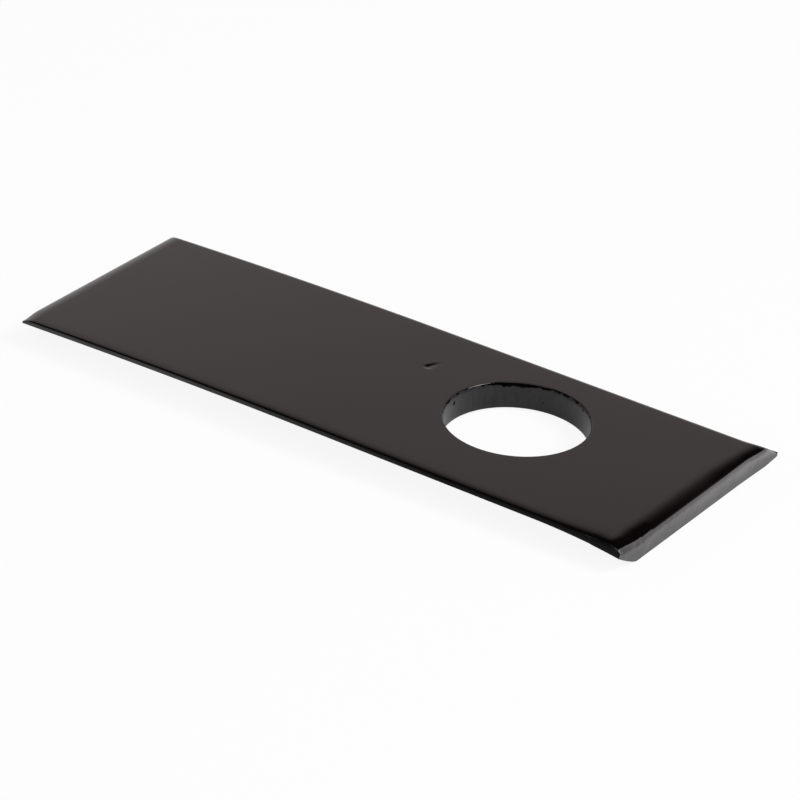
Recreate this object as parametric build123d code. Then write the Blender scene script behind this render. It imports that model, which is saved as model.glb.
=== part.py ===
from build123d import *
import math
import os

# A flat, reversible knife for a rotary mower: one piece of hardened spring steel, held by one bolt
# near its end and free to swing on it. All sizes are in millimetres.
# The origin is the bolt hole's axis at the underside. X runs along the blade towards the bolted
# end, Y across it towards the long edge that is ground from above, and Z up through the hole.

# The flat bar and its two ground edges
blade_length = 100.0
blade_width = 40.0
blade_thickness = 4.0
bevel_width = 5.2
edge_land = 0.5
crease_radius = 1.5
lip_roll_width = 2.5
lip_roll_depth = 0.2

# The bolt hole
bolt_hole_diameter = 20.5
bolt_hole_to_end = 29.1
rim_radius = 0.3

# The cutting end sags in a long, even curve
bow_start = 21.0
bow_radius = 1300.0

# Both ends are sheared: the top edge is drawn down, and the cut face leans in below it
bolted_end_skew = 1.7
bolted_end_lean = 9.4
bolted_roll_width = 3.0
bolted_roll_depth = 0.4
free_end_skew = 0.0
free_end_lean = 2.0
free_roll_width = 2.0
free_roll_depth = 0.35

# The shears also bent the thin lip down at the near corner of the bolted end
corner_droop = 1.0
droop_length = 14.0
droop_margin = 2.0
droop_roll_share = 0.9
droop_stations = 4
droop_overrun = 1.0

# A small pointed dent in the top face
dent_x = -17.9
dent_y = 3.6
dent_length = 3.1
dent_width = 1.7
dent_depth = 0.2
dent_turn = 20.0

# How far each cutter reaches past the metal that it takes away
overshoot = 5.0

half_width = blade_width / 2
free_length = blade_length - bolt_hole_to_end
droop_zone = bevel_width + droop_margin
near_corner = (
    bolt_hole_to_end
    + blade_thickness * math.tan(math.radians(bolted_end_lean))
    - half_width * math.tan(math.radians(bolted_end_skew))
)
droop_start = near_corner - droop_length
droop_end = near_corner + droop_overrun
bar_end = bolt_hole_to_end + blade_width * math.tan(math.radians(bolted_end_skew)) + overshoot


def near_edge(droop, roll_width):
    """The outline of the near long edge, ground from below, with the ends of its top and bottom."""
    tip_height = blade_thickness - lip_roll_depth - droop
    crease = Vector(bevel_width - half_width, 0)
    low_tip = Vector(-half_width, tip_height - edge_land)
    down_slope = (crease - low_tip).normalized()
    turn = math.radians(down_slope.get_angle(Vector(1, 0)))
    setback = crease_radius * math.tan(turn / 2)
    on_bevel = crease - down_slope * setback
    on_bottom = crease + Vector(setback, 0)
    on_top = Vector(roll_width - half_width, blade_thickness)
    high_tip = Vector(-half_width, tip_height)
    roll = TangentArc(on_top, high_tip, tangent=(-1, 0))
    ground = Polyline(high_tip, low_tip, on_bevel)
    crease_round = TangentArc(on_bevel, on_bottom, tangent=down_slope)
    return roll + ground + crease_round, on_top, on_bottom


def bar_section():
    """The full cross section. Its far edge is the near edge turned half round, as on a reversible knife."""
    near, on_top, on_bottom = near_edge(0, lip_roll_width)
    half_turn = Pos(0, blade_thickness) * Rot(0, 0, 180)
    far_crease = (-on_bottom.X, blade_thickness)
    far_roll = (-on_top.X, 0)
    outline = near + Line(on_top, far_crease) + half_turn * near + Line(far_roll, on_bottom)
    return Plane.YZ * make_face(outline)


def flat_bar():
    """The straight stretch, from the start of the bow to past the bolted end."""
    start = Pos(-bow_start, 0, 0) * bar_section()
    return extrude(start, bow_start + bar_end, dir=(1, 0, 0))


def bow_turn(distance):
    """The angle that a distance along the bow turns the section through, in degrees."""
    return math.degrees((distance - bow_start) / bow_radius)


def bowed_bar():
    """The cutting end, turned about a distant axis below the blade."""
    start = Pos(-bow_start, 0, 0) * bar_section()
    axis = Axis((-bow_start, 0, -bow_radius), (0, -1, 0))
    return revolve(start, axis, bow_turn(free_length + overshoot))


def lip_section(x):
    """The near lip alone, at one place along the blade, bent down by a square law."""
    droop = corner_droop * ((x - droop_start) / droop_length) ** 2
    widest = droop_zone * droop_roll_share
    share = (x - droop_start) / (droop_end - droop_start)
    near, on_top, on_bottom = near_edge(droop, lip_roll_width + share * (widest - lip_roll_width))
    inner = droop_zone - half_width
    body_side = Polyline(on_top, (inner, blade_thickness), (inner, 0), on_bottom)
    section = Plane.YZ * make_face(near + body_side)
    return Pos(x, 0, 0) * section


def drooped_lip():
    """The near lip's last stretch, bent down towards the bolted end's corner."""
    step = (droop_end - droop_start) / (droop_stations - 1)
    return loft([lip_section(droop_start + step * i) for i in range(droop_stations)])


def lip_room():
    """The straight lip's place, from the start of the droop onwards."""
    length = bar_end + overshoot - droop_start
    centre = Pos(droop_start + length / 2, droop_zone - half_width - blade_width / 2, blade_thickness / 2)
    return centre * Box(length, blade_width, blade_thickness * 2)


def shear_cutter(skew, lean, roll_width, roll_depth):
    """What a shear takes off an end that faces +X and stands at x = 0 on the underside."""
    slope = math.tan(math.radians(lean))
    edge_height = blade_thickness - roll_depth
    foot = Vector(-overshoot * slope, -overshoot)
    edge = Vector(edge_height * slope, edge_height)
    roll_start = Vector(edge.X - roll_width, blade_thickness)
    high = blade_thickness + overshoot
    reach = edge.X + 2 * overshoot
    roll = TangentArc(roll_start, edge, tangent=(1, 0))
    rest = Polyline(edge, foot, (reach, -overshoot), (reach, high), (roll_start.X, high), roll_start)
    side = Plane.XZ * make_face(roll + rest)
    return Rot(0, 0, -skew) * extrude(side, blade_width, both=True)


def bolted_end_cutter():
    """The shear's cut at the bolted end."""
    cutter = shear_cutter(bolted_end_skew, bolted_end_lean, bolted_roll_width, bolted_roll_depth)
    return Pos(bolt_hole_to_end, 0, 0) * cutter


def free_end_cutter():
    """The shear's cut at the cutting end, square to the bowed bar there."""
    cutter = shear_cutter(free_end_skew, free_end_lean, free_roll_width, free_roll_depth)
    bow_axis = Pos(-bow_start, 0, -bow_radius)
    along_bow = bow_axis * Rot(0, -bow_turn(free_length), 0) * Pos(0, 0, bow_radius)
    return along_bow * Rot(0, 0, 180) * cutter


def punch_hole(bar):
    """The bolt hole, with the slight rounding that the punch leaves on its upper rim."""
    punch = Pos(0, 0, blade_thickness / 2) * Cylinder(bolt_hole_diameter / 2, blade_thickness * 2)
    punched = bar - punch
    rims = punched.edges().filter_by(lambda edge: edge.is_closed)
    return fillet(rims.sort_by(Axis.Z)[-1], rim_radius)


def dent_cutter():
    """Half a flattened cone lying in the top face, with its point towards the far edge."""
    from_base = (Align.CENTER, Align.CENTER, Align.MIN)
    cone = Rot(-90, 0, 0) * Cone(dent_width / 2, 0, dent_length, align=from_base)
    flat_cone = scale(cone, by=(1, 1, 2 * dent_depth / dent_width))
    return Pos(dent_x, dent_y, blade_thickness) * Rot(0, 0, -dent_turn) * flat_cone


def blade():
    bar = flat_bar() + bowed_bar()
    bar = bar - lip_room() + drooped_lip()
    bar = bar - bolted_end_cutter() - free_end_cutter()
    return punch_hole(bar) - dent_cutter()


os.makedirs("parts", exist_ok=True)
export_step(blade(), "parts/blade.step")
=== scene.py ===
import math
import bmesh
import bpy
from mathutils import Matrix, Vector


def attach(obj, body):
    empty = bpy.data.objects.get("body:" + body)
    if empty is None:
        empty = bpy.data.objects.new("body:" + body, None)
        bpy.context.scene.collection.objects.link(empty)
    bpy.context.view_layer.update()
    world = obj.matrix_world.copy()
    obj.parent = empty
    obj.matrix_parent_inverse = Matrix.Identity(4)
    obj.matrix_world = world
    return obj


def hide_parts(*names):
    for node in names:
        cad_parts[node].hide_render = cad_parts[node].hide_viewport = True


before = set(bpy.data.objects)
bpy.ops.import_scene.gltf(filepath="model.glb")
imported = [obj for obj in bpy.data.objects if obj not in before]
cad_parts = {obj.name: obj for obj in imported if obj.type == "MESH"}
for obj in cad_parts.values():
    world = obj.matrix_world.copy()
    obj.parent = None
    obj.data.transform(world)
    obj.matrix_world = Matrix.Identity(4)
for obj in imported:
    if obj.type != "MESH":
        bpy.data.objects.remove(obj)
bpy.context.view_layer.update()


# THE BAR
# The knife is one flat bar of hardened spring steel, 40 mm wide and 4 mm thick. Each long edge is
# ground to a bevel, the near one from below and the far one from above, so the blade cuts both ways.

mm = 0.001
tiny = 0.002 * mm

half_width = 20 * mm
thickness = 4 * mm
bevel_width = 5.2 * mm
lip_thickness = 0.6 * mm
lip_roll_width = 2.2 * mm
lip_roll_depth = 0.1 * mm
nose_radius = 0.25 * mm
crease_radius = 1.5 * mm

crease_place = half_width - bevel_width
ground_fall = (thickness - lip_roll_depth - lip_thickness) / bevel_width
ground_angle = math.atan(ground_fall)
crease_setback = crease_radius * math.tan(ground_angle / 2)
crease_start = crease_place - crease_setback
crease_end = crease_start + crease_radius * math.sin(ground_angle)


def arc_drop(reach, width, depth):
    """How far an edge that is rolled over has dropped, at a reach from where the roll starts."""
    radius = (width * width + depth * depth) / (2 * depth)
    return radius - math.sqrt(radius * radius - min(max(reach, 0), radius) ** 2)


def lip_drop(y, width, depth, nose):
    """How far the near lip has dropped. It turns down ever more steeply and ends in a round nose."""
    roll = depth * (max(width - half_width - y, 0) / width) ** 3
    return roll + arc_drop(nose - half_width - y, nose, nose)


def top_height(y):
    """Height of the top across the bar: the rolled near lip, the flat, the crease, the ground edge."""
    if y < lip_roll_width - half_width:
        return thickness - lip_drop(y, lip_roll_width, lip_roll_depth, nose_radius)
    if y > crease_end:
        return thickness - (y - crease_place) * ground_fall
    return thickness - arc_drop(y - crease_start, crease_radius, crease_radius)


def bottom_height(y):
    """The far edge is the near edge turned half round, so the bottom is the top turned over."""
    return thickness - top_height(-y)


def pick(test):
    """Selects the vertices that pass a test of their place, and all that lies between them."""
    shell = bmesh.from_edit_mesh(bpy.context.edit_object.data)
    bpy.ops.mesh.select_all(action="DESELECT")
    for vertex in shell.verts:
        vertex.select = test(vertex.co)
    shell.select_flush(True)


def near(value, target):
    return abs(value - target) < tiny


def shift(x=0.0, y=0.0, z=0.0):
    """Moves what is selected."""
    bpy.ops.transform.translate(value=(x, y, z))


grid_pitch = 1.05 * mm
grid_half = 12 * grid_pitch
flat_columns = [i * grid_pitch for i in range(-12, 13)]
crease_columns = [crease_start + (crease_end - crease_start) * i / 4 for i in range(5)]
lip_columns = [place * mm for place in (16.2, 17, 17.8, 18.4, 18.9, 19.3, 19.6, 19.8, 19.92)]
far_columns = crease_columns + lip_columns
columns = [-y for y in reversed(far_columns)] + flat_columns + far_columns

free_end = -70.9 * mm
bolted_end = 29.1 * mm
spare = 1.5 * mm
free_roll_width = 2 * mm
bolted_roll_width = 3 * mm

bpy.ops.object.select_all(action="DESELECT")
bpy.ops.mesh.primitive_plane_add(
    size=2 * half_width, location=(free_end - spare, 0, thickness / 2), rotation=(0, math.radians(90), 0)
)
blade = bpy.context.object
blade.name = "mower_blade"
bpy.ops.object.transform_apply(location=True, rotation=True, scale=True)
bpy.ops.object.mode_set(mode="EDIT")
bpy.ops.mesh.select_mode(type="VERT")
bpy.ops.transform.resize(
    value=(1, 1, thickness / (2 * half_width)), center_override=(free_end - spare, 0, thickness / 2)
)
for y in columns:
    bpy.ops.mesh.select_all(action="SELECT")
    bpy.ops.mesh.bisect(plane_co=(0, y, 0), plane_no=(0, 1, 0), threshold=1e-7)
for y in [-half_width] + columns + [half_width]:
    pick(lambda place: near(place.y, y) and place.z > thickness / 2)
    shift(z=top_height(y) - thickness)
    pick(lambda place: near(place.y, y) and place.z < thickness / 2 and near(place.z, 0))
    shift(z=bottom_height(y))

free_roll = [free_end + free_roll_width * i / 5 for i in range(6)]
bow_stations = [free_end + free_roll_width + (47.9 * mm) * i / 24 for i in range(1, 25)]
middle_stations = [-18.9 * mm, -16.8 * mm, -14.7 * mm] + flat_columns
droop_stations = [grid_half + 13.5 * mm * i / 12 for i in range(1, 12)]
bolted_roll = [26.1 * mm + bolted_roll_width * i / 6 for i in range(7)]
stations = free_roll + bow_stations + middle_stations + droop_stations + bolted_roll + [bolted_end + spare]

bpy.ops.mesh.select_all(action="SELECT")
reached = free_end - spare
for x in stations:
    bpy.ops.mesh.extrude_region_move(TRANSFORM_OT_translate={"value": (x - reached, 0, 0)})
    reached = x


class Signal:
    """A value that a finish works out over the surface. Arithmetic on it adds Math nodes."""

    def __init__(self, socket):
        self.socket = socket

    def reckon(self, operation, first, second=0.0, clamp=False):
        node = self.socket.id_data.nodes.new("ShaderNodeMath")
        node.operation = operation
        node.use_clamp = clamp
        feed(node.inputs[0], first)
        feed(node.inputs[1], second)
        return Signal(node.outputs[0])

    def __add__(self, other):
        return self.reckon("ADD", self, other)

    def __sub__(self, other):
        return self.reckon("SUBTRACT", self, other)

    def __rsub__(self, other):
        return self.reckon("SUBTRACT", other, self)

    def __mul__(self, other):
        return self.reckon("MULTIPLY", self, other)

    __radd__ = __add__
    __rmul__ = __mul__

    def held(self):
        """The same value, held between 0 and 1."""
        return self.reckon("ADD", self, 0.0, clamp=True)


def feed(socket, value):
    """Links a signal to a socket, or sets a plain value on it."""
    if isinstance(value, Signal):
        socket.id_data.links.new(value.socket, socket)
    else:
        socket.default_value = value


class Finish:
    """The nodes of one material or of the world."""

    def __init__(self, owner):
        self.owner = owner
        owner.use_nodes = True
        self.tree = owner.node_tree
        self.tree.nodes.clear()

    def node(self, kind, settings, inputs, output=0):
        """Adds a node, sets it, then feeds it, and gives the output asked for."""
        made = self.tree.nodes.new(kind)
        for name, value in settings.items():
            if name == "stops":
                while len(made.color_ramp.elements) < len(value):
                    made.color_ramp.elements.new(1)
                for element, (position, color) in zip(made.color_ramp.elements, value):
                    element.position = position
                    element.color = color
            else:
                setattr(made, name, value)
        for name, value in inputs.items():
            feed(made.inputs[name], value)
        return Signal(made.outputs[output]) if made.outputs else None

    def place(self, scale=(1, 1, 1)):
        """Where a point of the piece lies, stretched."""
        spot = self.node("ShaderNodeTexCoord", {}, {}, "Object")
        return self.node("ShaderNodeMapping", {}, {"Vector": spot, "Scale": scale})

    def noise(self, scale, detail=2.0, roughness=0.5):
        """Noise between 0 and 1, whose grain has a fineness along, across and through the blade."""
        return self.node(
            "ShaderNodeTexNoise",
            {},
            {"Vector": self.place(scale), "Scale": 1.0, "Detail": detail, "Roughness": roughness},
        )

    def blend(self, share, first, second):
        """A colour part of the way from the first to the second."""
        return self.node("ShaderNodeMix", {"data_type": "RGBA"}, {0: share, 6: first, 7: second}, 2)

    def paint(self, color, roughness, height, **constants):
        """One coat. Heights are in thousandths of a millimetre."""
        bump = self.node("ShaderNodeBump", {}, {"Distance": 0.001 * mm, "Height": height})
        inputs = {"Base Color": color, "Roughness": roughness, "Normal": bump}
        return self.node("ShaderNodeBsdfPrincipled", {}, inputs | constants)

    def cover(self, coat):
        """Ends the finish with its coat and gives it to the blade."""
        self.node("ShaderNodeOutputMaterial", {}, {"Surface": coat})
        blade.data.materials.append(self.owner)


gloss = Finish(bpy.data.materials.new("black_gloss_paint"))
peel = gloss.noise((750, 750, 750), detail=1.5)
rolling = gloss.noise((70, 1500, 1500), detail=3.0)
cloud = gloss.noise((60, 60, 60), detail=3.0)
grit = gloss.node("ShaderNodeTexVoronoi", {}, {"Vector": gloss.place(), "Scale": 170.0}, "Distance")
nib_size = gloss.node("ShaderNodeTexVoronoi", {}, {"Vector": gloss.place(), "Scale": 170.0}, "Color")
nib = ((nib_size - 0.72) * 0.1 - grit).held() * 60
nib = nib.held()
warm_sheen = (1.0, 0.84, 0.84, 1)
paint_color = gloss.blend(cloud, (0.0014, 0.0009, 0.0009, 1), (0.0030, 0.0020, 0.0020, 1))
gloss_coat = gloss.paint(
    gloss.blend(nib, paint_color, (0.20, 0.19, 0.19, 1)),
    0.07 + cloud * 0.05 + nib * 0.3,
    peel * 1.2 + rolling * 0.6 + nib * 20,
    **{"IOR": 1.5, "Specular Tint": warm_sheen},
)
gloss.cover(gloss_coat)


# THE BOLT HOLE
# The hole is punched. The punch draws the upper rim down into a small round, shears the first
# millimetre cleanly, and tears the rest, which opens out a little towards the underside.

rim_rings = [
    (10.36, 4.0),
    (10.31, 3.985),
    (10.25, 3.93),
    (10.20, 3.82),
    (10.16, 3.65),
    (10.14, 3.45),
    (10.13, 3.2),
]
wall_rings = [(10.13, 2.6), (10.13, 2.0), (10.135, 1.4), (10.145, 0.8), (10.16, 0.3), (10.21, 0.0)]


def in_square(place):
    return abs(place.x) < grid_half + tiny and abs(place.y) < grid_half + tiny


def on_square(place):
    return in_square(place) and near(max(abs(place.x), abs(place.y)), grid_half)


def open_round(height, radius):
    """Opens a square in the flat and draws its border in, ring by ring, to a circle."""
    pick(lambda place: in_square(place) and near(place.z, height))
    bpy.ops.mesh.delete(type="FACE")
    pick(lambda place: on_square(place) and near(place.z, height))
    shell = bmesh.from_edit_mesh(blade.data)
    for roundness, size in ((0.4, 13.2 * mm), (0.6, 11.7 * mm), (1, radius)):
        bpy.ops.mesh.extrude_edges_move(TRANSFORM_OT_translate={"value": (0, 0, 0)})
        bpy.ops.transform.tosphere(value=roundness)
        reaches = [math.hypot(vertex.co.x, vertex.co.y) for vertex in shell.verts if vertex.select]
        stretch = size * len(reaches) / sum(reaches)
        bpy.ops.transform.resize(value=(stretch, stretch, 1), center_override=(0, 0, 0))


open_round(0, wall_rings[-1][0] * mm)
radius, height = rim_rings[0]
top_radius = radius * mm
open_round(thickness, top_radius)
for next_radius, next_height in rim_rings[1:] + wall_rings:
    bpy.ops.mesh.extrude_edges_move(TRANSFORM_OT_translate={"value": (0, 0, (next_height - height) * mm)})
    stretch = next_radius / radius
    bpy.ops.transform.resize(value=(stretch, stretch, 1), center_override=(0, 0, 0))
    radius, height = next_radius, next_height
bpy.ops.mesh.select_all(action="SELECT")
bpy.ops.mesh.remove_doubles(threshold=2e-6)

torn = Finish(bpy.data.materials.new("black_paint_on_punched_wall"))
spot = torn.place((1000, 1000, 1000))
along, across, height_up = [torn.node("ShaderNodeSeparateXYZ", {}, {"Vector": spot}, way) for way in "XYZ"]
fringe = torn.noise((900, 900, 250), detail=4.0, roughness=0.65)
drips = torn.noise((420, 420, 60), detail=2.0)
pits = torn.node("ShaderNodeTexVoronoi", {}, {"Vector": torn.place(), "Scale": 420.0}, "Distance")
# Below the rim the wall carries a black band with a ragged lower edge, widest at the back of the hole, and small
# black pits. The pits are specks of paint. The band's blackness is painted shade: the clean-sheared upper wall
# shows the dark room in reflection, and here a near-black coat that reflects almost nothing stands in for it.
back = ((across * 0.09 - along * 0.042 - 0.8) * 5).held()
rim_band = (height_up - 3.85 + back * 0.45 + (fringe - 0.5) * 1.6 + (drips - 0.5) * 1.6) * 7 + 0.5
black = (rim_band.held() + (0.16 - pits).held() * 20).held()
tear = torn.noise((1600, 1600, 380), detail=5.0, roughness=0.7)
grain = torn.noise((4200, 4200, 4200), detail=3.0)
# The torn wall's colour varies with the tear noise, which is its own grain. It is also painted lighter towards
# the top and darker towards the underside: painted shade, standing in for the shadowed floor seen reflected in
# the lower wall.
torn_tone_and_painted_shade = torn.blend(
    (tear * 1.6 + height_up * 0.12 - 0.6).held(), (0.0010, 0.0010, 0.0012, 1), (0.022, 0.020, 0.022, 1)
)
torn_coat = torn.paint(torn_tone_and_painted_shade, 0.34 + (tear - 0.5) * 0.2, tear * 26 + grain * 7, IOR=1.4)
# Painted shade: near black and almost unreflecting (IOR 1.08), in place of the dark room reflected in the band.
black_coat = torn.paint((0.0008, 0.0006, 0.0006, 1), 0.3, fringe * 3, IOR=1.08)
torn.cover(torn.node("ShaderNodeMixShader", {}, {0: black, 1: torn_coat, 2: black_coat}))
pick(lambda place: math.hypot(place.x, place.y) < top_radius * 1.0001 and place.z < 3.95 * mm)
blade.active_material_index = 1
bpy.ops.object.material_slot_assign()


# THE DROOPED CORNER
# Where the near lip meets the bolted end, the shear bent it down. The last few millimetres also
# sank as a whole, and bulged below.

corner_droop = 0.95 * mm
top_droop = 0.2 * mm
droop_start = 15.17 * mm
droop_length = 14.0 * mm
droop_width = 4.5 * mm
corner_nose = 0.75 * mm
bulge = 0.5


def drooped_top(x, y):
    """Height of the top of the near lip. Towards the bolted end it sinks and its nose grows rounder."""
    if y > droop_width - half_width:
        return top_height(y)
    share = (max(x - droop_start, 0) / droop_length) ** 2
    nose = nose_radius + share * (corner_nose - nose_radius)
    sunk = lip_drop(y, droop_width, share * top_droop, nose) - lip_drop(y, droop_width, 0, nose_radius)
    return top_height(y) - sunk


def drooped_bottom(x, y):
    """Height of the ground bevel below that lip."""
    share = max(x - droop_start, 0) / droop_length
    out = min(1, max(0, -crease_start - y) / (half_width - crease_start))
    sag = corner_droop * share * share
    edge = bottom_height(-half_width) - sag
    hollow = edge * (out - out ** (1 + bulge * share * share))
    return bottom_height(y) - sag * out - hollow


lip_part = [y for y in [-half_width] + columns if y < -crease_start + tiny]
for x in [x for x in stations if x > droop_start]:
    for y in lip_part:
        pick(lambda place: near(place.x, x) and near(place.y, y) and near(place.z, bottom_height(y)))
        shift(z=drooped_bottom(x, y) - bottom_height(y))
        pick(lambda place: near(place.x, x) and near(place.y, y) and near(place.z, top_height(y)))
        shift(z=drooped_top(x, y) - top_height(y))


# THE SHEARED ENDS
# Both ends are cropped by a shear, which draws the top edge down in a long round and leaves a cut
# face that leans in below it. The bolted end is cropped slightly off square.

bolted_roll_depth = 0.6 * mm
far_roll_depth = 0.35 * mm
far_roll_width = 2.2 * mm
corner_roll_depth = 0.9 * mm
bolted_lean = math.radians(9.4)
bolted_skew = math.tan(math.radians(1.7))
free_roll_depth = 0.35 * mm
free_lean = math.radians(2.0)

rows = [-half_width] + columns + [half_width]
for y in rows:
    pick(lambda place: near(place.y, y) and place.x > 24.5 * mm)
    shift(x=y * bolted_skew)


def ease(start, end, value):
    """Rises smoothly from 0 to 1 between two values."""
    share = min(max((value - start) / (end - start), 0), 1)
    return share * share * (3 - 2 * share)


def bolted_roll_drop(x, y):
    """The shear drew the bolted end's top down most at the near corner and least at the far one."""
    nearer = ease(-12.5 * mm, -16 * mm, y)
    farther = ease(2 * mm, crease_start, y)
    width = bolted_roll_width + farther * (far_roll_width - bolted_roll_width)
    depth = bolted_roll_depth + nearer * (corner_roll_depth - bolted_roll_depth)
    depth = depth + farther * (far_roll_depth - bolted_roll_depth)
    return arc_drop(x - (top_edge - width), width, depth)


def free_roll_drop(x, y):
    return arc_drop(free_end + free_roll_width - x, free_roll_width, free_roll_depth)


def roll_top(station, drop_at, skew):
    """Draws the top down at one station. Where the lip is lower already, the two drops blend."""
    for column in rows:
        drop = drop_at(station, column)
        own_drop = thickness - (drooped_top(station, column) if skew else top_height(column))
        pick(
            lambda place: near(place.x - place.y * skew, station)
            and near(place.y, column)
            and near(thickness - place.z, own_drop)
        )
        shift(z=own_drop - (own_drop**3 + drop**3) ** (1 / 3))


top_edge = bolted_end + (thickness - bolted_roll_depth) * math.tan(bolted_lean)
for x in bolted_roll + [bolted_end + spare]:
    roll_top(x, bolted_roll_drop, bolted_skew)
for x in [free_end - spare] + free_roll:
    roll_top(x, free_roll_drop, 0)



bpy.ops.mesh.select_all(action="SELECT")
bpy.ops.mesh.bisect(
    plane_co=(bolted_end, 0, 0),
    plane_no=(1, -bolted_skew, -math.tan(bolted_lean)),
    use_fill=True,
    clear_outer=True,
    threshold=1e-7,
)


def on_cut(place):
    """True on the bolted end's cut face."""
    return near(place.x - bolted_end, place.y * bolted_skew + place.z * math.tan(bolted_lean))


def on_cut_top(place):
    """True on the cut face's top edge, as far as the near lip's round."""
    above = place.z > min(2.4 * mm, 3.6 * mm + ground_fall * (crease_place - place.y))
    return on_cut(place) and above and place.y > 0.3 * mm - half_width


def pull(test, x, y, z, reach):
    """Moves what passes a test, and its neighbourhood with it, less and less."""
    pick(test)
    bpy.ops.transform.translate(
        value=(x * mm, y * mm, z * mm),
        use_proportional_edit=True,
        proportional_edit_falloff="SMOOTH",
        proportional_size=reach * mm,
    )


pick(on_cut_top)
bpy.ops.mesh.bevel(offset=0.5 * mm, segments=5, affect="EDGES", clamp_overlap=False, profile=0.5)
pull(lambda place: on_cut(place) and place.y < 0.3 * mm - half_width, -0.45, -0.1, 0.1, 4.5)
pull(lambda place: on_cut(place) and place.y > 14 * mm and place.z > 2 * mm, 0.45, 0.3, 0.05, 3.5)
pull(lambda place: place.x > 28 * mm and place.y > 19.9 * mm, 0.1, 0.25, 0.12, 3)
bpy.ops.mesh.select_all(action="SELECT")
bpy.ops.mesh.bisect(
    plane_co=(free_end, 0, 0),
    plane_no=(-1, 0, -math.tan(free_lean)),
    use_fill=True,
    clear_outer=True,
    threshold=1e-7,
)

cut = Finish(bpy.data.materials.new("black_paint_on_sheared_end"))
spot = cut.place((1000, 1000, 1000))
across = cut.node("ShaderNodeSeparateXYZ", {}, {"Vector": spot}, "Y")
height_up = cut.node("ShaderNodeSeparateXYZ", {}, {"Vector": spot}, "Z")
leaning = cut.node("ShaderNodeMapping", {}, {"Vector": cut.place(), "Rotation": (math.radians(24), 0, 0)})
streaks = cut.node(
    "ShaderNodeTexNoise",
    {},
    {
        "Vector": cut.node("ShaderNodeMapping", {}, {"Vector": leaning, "Scale": (300, 1300, 220)}),
        "Scale": 1.0,
        "Detail": 4.0,
        "Roughness": 0.6,
    },
)
grain = cut.noise((3000, 3000, 3000), detail=3.0)
# Painted light: a pale grey band across the cut faces, brightest a little below the top edge and towards the far
# side, stands in for the lamp light the faces catch there. The streaks that vary the lower part are the cut's
# own striations.
painted_light_band = ((height_up - 0.9) * 0.55).held() * ((3.9 - height_up) * 1.6).held() * (0.55 + across * 0.022)
cut_coat = cut.paint(
    cut.blend((painted_light_band + (streaks - 0.5) * ((3.5 - height_up) * 1.5).held() * 2.0).held(), (0.024, 0.022, 0.024, 1), (0.125, 0.118, 0.125, 1)),
    0.30 + streaks * 0.14,
    streaks * 16 + grain * 4,
    IOR=1.5,
)
cut.cover(cut_coat)
shell = bmesh.from_edit_mesh(blade.data)
bpy.ops.mesh.select_all(action="DESELECT")
bpy.ops.mesh.select_mode(type="FACE")
for face in shell.faces:
    face.select = abs(face.normal.x) > 0.55 and abs(face.calc_center_median().x) > 28 * mm
blade.active_material_index = 2
bpy.ops.object.material_slot_assign()

thin = Finish(bpy.data.materials.new("thin_black_paint_on_lip"))
grit = thin.noise((900, 900, 900), detail=3.0)
thin_color = thin.blend(grit, (0.0010, 0.0008, 0.0008, 1), (0.0030, 0.0024, 0.0024, 1))
along = thin.node("ShaderNodeSeparateXYZ", {}, {"Vector": thin.place((1000, 1000, 1000))}, "X")
# Painted shade: towards the bolted end the lip's paint turns into a coat that reflects less (IOR 1.2 instead of
# 1.55), which darkens the land's reflection of the floor. The grit tone is the paint's own.
painted_shade_share = ((along + 45) * 0.022).held()
full_coat = thin.paint(thin_color, 0.16 + grit * 0.1, grit * 3, IOR=1.55)
dimmed_reflection_coat = thin.paint(thin_color, 0.22 + grit * 0.12, grit * 3, IOR=1.2)
thin.cover(thin.node("ShaderNodeMixShader", {}, {0: painted_shade_share, 1: full_coat, 2: dimmed_reflection_coat}))
for face in shell.faces:
    face.select = face.normal.y < -0.45 and face.calc_center_median().y < 0.5 * mm - half_width
blade.active_material_index = 3
bpy.ops.object.material_slot_assign()
bpy.ops.mesh.select_mode(type="VERT")


# THE DENT
# A small pointed dent from handling, painted over with the rest.

dent_place = Vector((-17.75, 4.1)) * mm
dent_length = 3.0 * mm
dent_width = 1.6 * mm
dent_depth = 0.11 * mm
dent_steps = 8
dent_turn = math.radians(20)
dent_along = Vector((math.sin(dent_turn), math.cos(dent_turn)))
dent_across = Vector((math.cos(dent_turn), -math.sin(dent_turn)))

pick(
    lambda place: near(place.z, thickness)
    and -21.1 * mm < place.x < -14.6 * mm
    and 2 * mm < place.y < 8.5 * mm
)
bpy.ops.mesh.subdivide(number_cuts=9)


def in_dent(place, share):
    """True inside a teardrop outline, blunt at the near end and steeper on its far side."""
    offset = Vector((place.x, place.y)) - dent_place
    along = offset.dot(dent_along) / dent_length
    across = 2 * offset.dot(dent_across) / dent_width
    blunt = (0.18 - along) / 0.28
    round_end = math.sqrt(max(0, 1 - blunt * blunt)) if blunt > 0 else 1
    taper = (1 - along) * round_end
    side = across if across > 0 else -1.6 * across
    return place.z > thickness / 2 and -0.1 < along < 1 and side < taper * 1.2 - share


for step in range(dent_steps):
    pick(lambda place: in_dent(place, 1.1 * step / dent_steps))
    shift(z=-dent_depth / dent_steps)
pick(lambda place: in_dent(place, -0.4))
bpy.ops.mesh.vertices_smooth(factor=0.5, repeat=2)


# THE SAG
# From just beyond the hole the cutting half sags in one long, even curve.

bow_start = -21.0 * mm
bow_radius = 1300 * mm

bent = {}
shell = bmesh.from_edit_mesh(blade.data)
for vertex in shell.verts:
    if vertex.co.x < bow_start - tiny:
        bent.setdefault(round(vertex.co.x, 7), set()).add(vertex.index)
for x, indices in bent.items():
    pick(lambda place: False)
    for vertex in shell.verts:
        vertex.select = vertex.index in indices
    shift(x=bow_start - x)
    bpy.ops.transform.rotate(
        value=(bow_start - x) / bow_radius, orient_axis="Y", center_override=(bow_start, 0, -bow_radius)
    )

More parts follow.
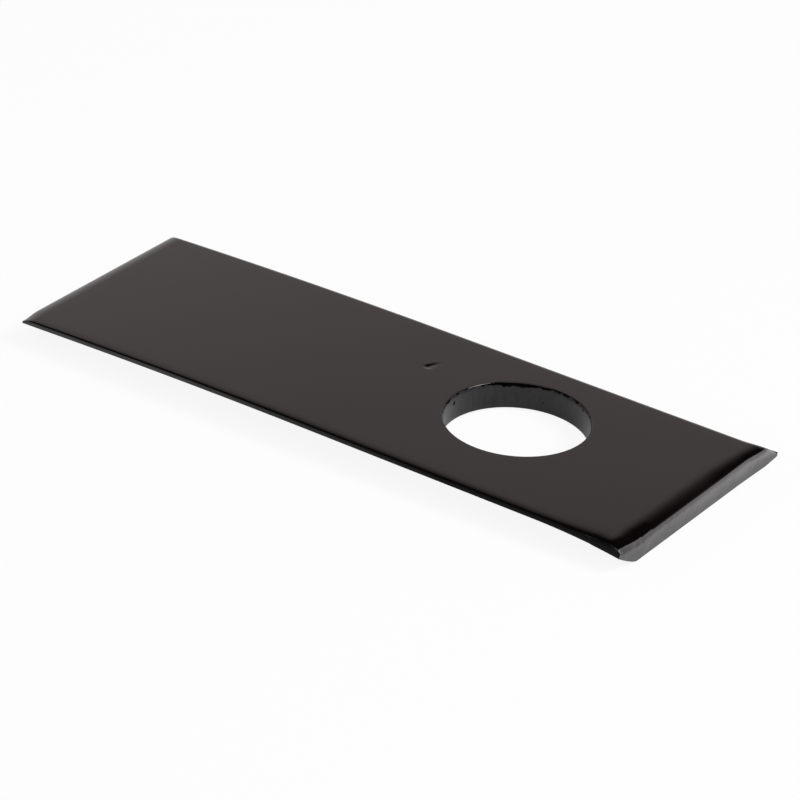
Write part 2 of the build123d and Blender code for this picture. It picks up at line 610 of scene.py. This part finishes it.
pull(lambda place: place.x < free_end + 0.5 * mm and place.y < 0.5 * mm - half_width, 0.4, 0.05, 0, 3.5)

bpy.ops.mesh.select_all(action="SELECT")
bpy.ops.mesh.normals_make_consistent(inside=False)
bpy.ops.object.mode_set(mode="OBJECT")

bpy.ops.object.modifier_add(type="BEVEL")
edge_round = blade.modifiers[-1]
edge_round.width = 0.09 * mm
edge_round.segments = 3
edge_round.limit_method = "ANGLE"
edge_round.angle_limit = math.radians(35)
bpy.ops.object.modifier_apply(modifier=edge_round.name)
bpy.ops.object.shade_smooth()
bpy.ops.object.modifier_add(type="WEIGHTED_NORMAL")
evening = blade.modifiers[-1]
evening.weight = 50
bpy.ops.object.modifier_apply(modifier=evening.name)

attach(blade, "root")
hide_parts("blade")


# THE STUDIO
# A white sweep lies under and behind the blade and the room above it is dark. One soft lamp stands
# past the bolted end and a larger, weaker one above and in front.

room = Finish(bpy.data.worlds.new("studio"))
bpy.context.scene.world = room.owner
direction = room.node("ShaderNodeTexCoord", {}, {}, "Generated")
rise = room.node("ShaderNodeSeparateXYZ", {}, {"Vector": direction}, "Z")
glow = room.node(
    "ShaderNodeValToRGB",
    {
        "stops": [
            (0.0, (0.80, 0.80, 0.80, 1)),
            (math.sin(math.radians(24)), (0.62, 0.57, 0.565, 1)),
            (math.sin(math.radians(32)), (0.53, 0.485, 0.48, 1)),
            (math.sin(math.radians(40)), (0.005, 0.005, 0.005, 1)),
        ]
    },
    {"Fac": rise},
)
seen = room.node("ShaderNodeLightPath", {}, {}, "Is Camera Ray")
room.node(
    "ShaderNodeOutputWorld",
    {},
    {"Surface": room.node("ShaderNodeBackground", {}, {"Color": room.blend(seen, glow, (1, 1, 1, 1))})},
)

bpy.ops.mesh.primitive_plane_add(size=6, location=(0, 0, 0))
floor = bpy.context.object
floor.name = "floor"
bpy.ops.object.transform_apply(location=True, rotation=True, scale=True)
floor.location = (29.1 * mm, 0, -0.01 * mm)
floor.rotation_euler = (0, -math.atan(0.96 / 100.2), 0)
sweep = bpy.data.materials.new("pale_sweep")
floor.data.materials.append(sweep)
paper = Finish(sweep)
looked_at = paper.node("ShaderNodeLightPath", {}, {}, "Is Camera Ray")
mirrored = paper.node("ShaderNodeLightPath", {}, {}, "Is Glossy Ray")
white = paper.node("ShaderNodeEmission", {}, {"Color": (1, 1, 1, 1), "Strength": 1.0})
matt = paper.node("ShaderNodeBsdfDiffuse", {}, {"Color": (0.86, 0.86, 0.86, 1)})
paper.node(
    "ShaderNodeOutputMaterial",
    {},
    {"Surface": paper.node("ShaderNodeMixShader", {}, {0: looked_at * 0.9 + mirrored * 0.5, 1: matt, 2: white})},
)


def soft_lamp(name, azimuth, height_angle, distance, size, power):
    """A square soft lamp that faces the blade. Its azimuth turns from +X towards +Y."""
    turn = math.radians(azimuth)
    rise = math.radians(height_angle)
    place = Vector((math.cos(turn) * math.cos(rise), math.sin(turn) * math.cos(rise), math.sin(rise)))
    bpy.ops.object.light_add(type="AREA", location=place * distance)
    lamp = bpy.context.object
    lamp.name = name
    lamp.rotation_euler = place.to_track_quat("Z", "Y").to_euler()
    lamp.data.size = size
    lamp.data.energy = power


soft_lamp("key_lamp", 19, 48, 0.9, 0.4, 6)
soft_lamp("front_lamp", -75, 62, 1.0, 0.9, 4)

bpy.ops.object.camera_add(
    location=(0.197488, -0.339538, 0.223472),
    rotation=(math.radians(60.9179), math.radians(-3.3052), math.radians(34.3686)),
)
camera = bpy.context.object
camera.data.sensor_width = 36
camera.data.lens = 148.5
bpy.context.scene.camera = camera
bpy.context.scene.view_settings.view_transform = "Standard"
